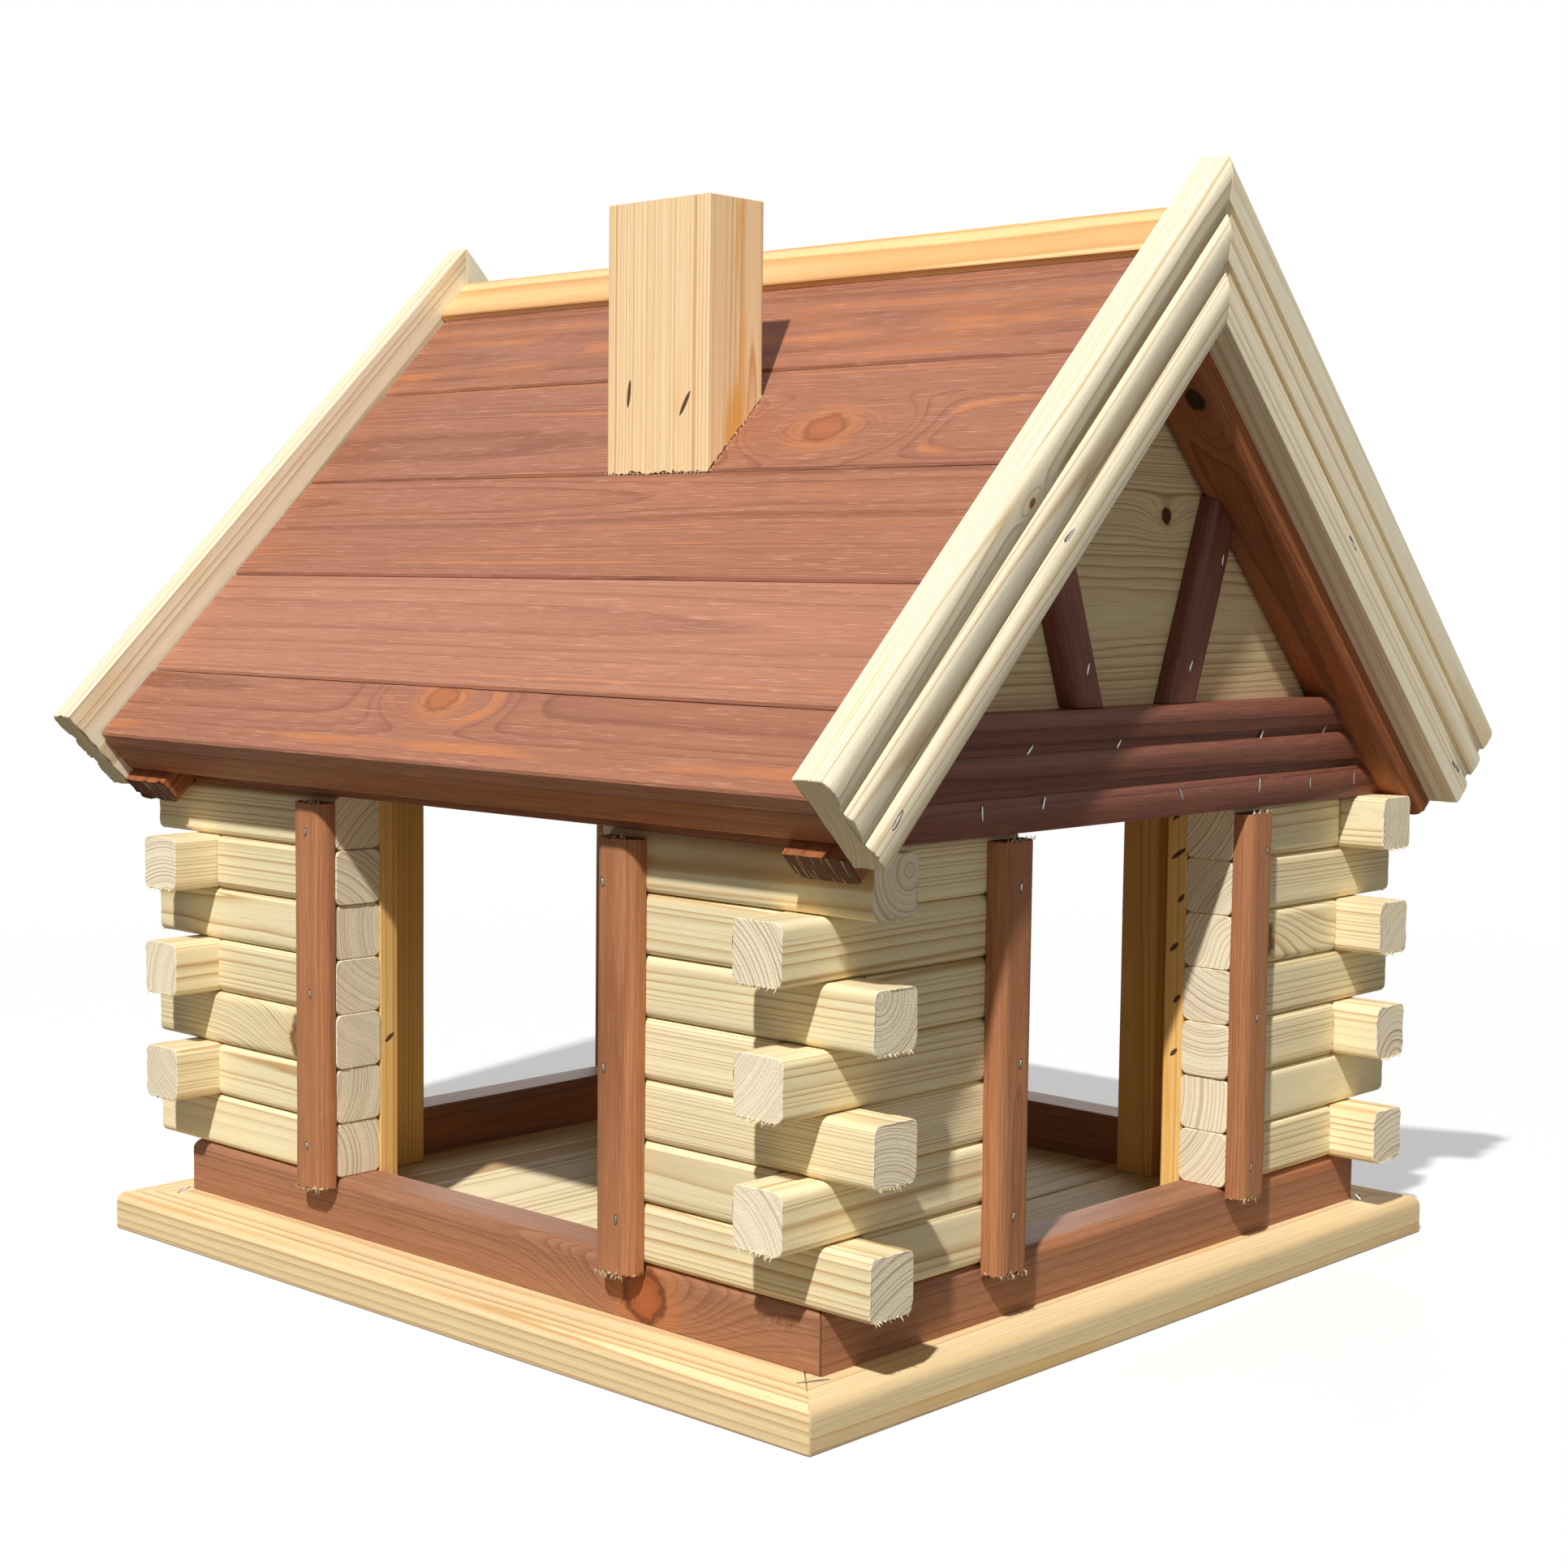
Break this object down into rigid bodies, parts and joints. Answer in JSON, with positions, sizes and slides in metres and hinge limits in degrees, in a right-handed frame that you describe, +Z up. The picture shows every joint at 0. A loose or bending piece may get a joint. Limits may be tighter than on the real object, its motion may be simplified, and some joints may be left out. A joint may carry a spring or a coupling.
{
  "type": "bird feeder",
  "caption": "Timber bird feeder shaped as a log cabin: a railed seed table, stacked-lath corners with wide openings, a boarded gable roof and a block chimney.",
  "frame": {"origin": "middle of the underside of the base frame", "axes": "+X along the ridge, -Y to the front slope that carries the chimney, +Z up"},
  "size_m": [0.437, 0.4286, 0.4328],
  "materials": {
    "pine": "planed pine, unfinished, satin",
    "stained_pine": "planed pine with a red-brown wood stain, satin",
    "staple_wire": "zinc-plated wire, dull"
  },
  "bodies": {
    "root": {"barge_board_back_left": "pine", "barge_board_back_right": "pine", "barge_board_front_left": "pine", "barge_board_front_right": "pine", "base_board_back": "pine", "base_board_front": "pine", "base_board_left": "pine", "base_board_right": "pine", "chimney": "pine", "eave_lath_back": "stained_pine", "eave_lath_front": "stained_pine", "floor_battens": "pine", "floor_boards": "pine", "gable_beam_left": "stained_pine", "gable_beam_right": "stained_pine", "gable_jamb_back_left": "pine", "gable_jamb_back_right": "pine", "gable_jamb_front_left": "pine", "gable_jamb_front_right": "pine", "gable_logs_back_left": "pine", "gable_logs_back_right": "pine", "gable_logs_front_left": "pine", "gable_logs_front_right": "pine", "gable_panel_left": "pine", "gable_panel_right": "pine", "gable_post_back_left": "stained_pine", "gable_post_back_right": "stained_pine", "gable_post_front_left": "stained_pine", "gable_post_front_right": "stained_pine", "gable_strut_back_left": "stained_pine", "gable_strut_back_right": "stained_pine", "gable_strut_front_left": "stained_pine", "gable_strut_front_right": "stained_pine", "long_jamb_back_left": "pine", "long_jamb_back_right": "pine", "long_jamb_front_left": "pine", "long_jamb_front_right": "pine", "long_logs_back_left": "pine", "long_logs_back_right": "pine", "long_logs_front_left": "pine", "long_logs_front_right": "pine", "long_post_back_left": "stained_pine", "long_post_back_right": "stained_pine", "long_post_front_left": "stained_pine", "long_post_front_right": "stained_pine", "rafter_back_left": "stained_pine", "rafter_back_right": "stained_pine", "rafter_front_left": "stained_pine", "rafter_front_right": "stained_pine", "ridge_strip_back": "pine", "ridge_strip_front": "pine", "roof_boards_back": "stained_pine", "roof_boards_front": "stained_pine", "sill_back": "stained_pine", "sill_front": "stained_pine", "sill_left": "stained_pine", "sill_right": "stained_pine", "wall_plate_back": "stained_pine", "wall_plate_front": "stained_pine"}
  },
  "joints": []
}
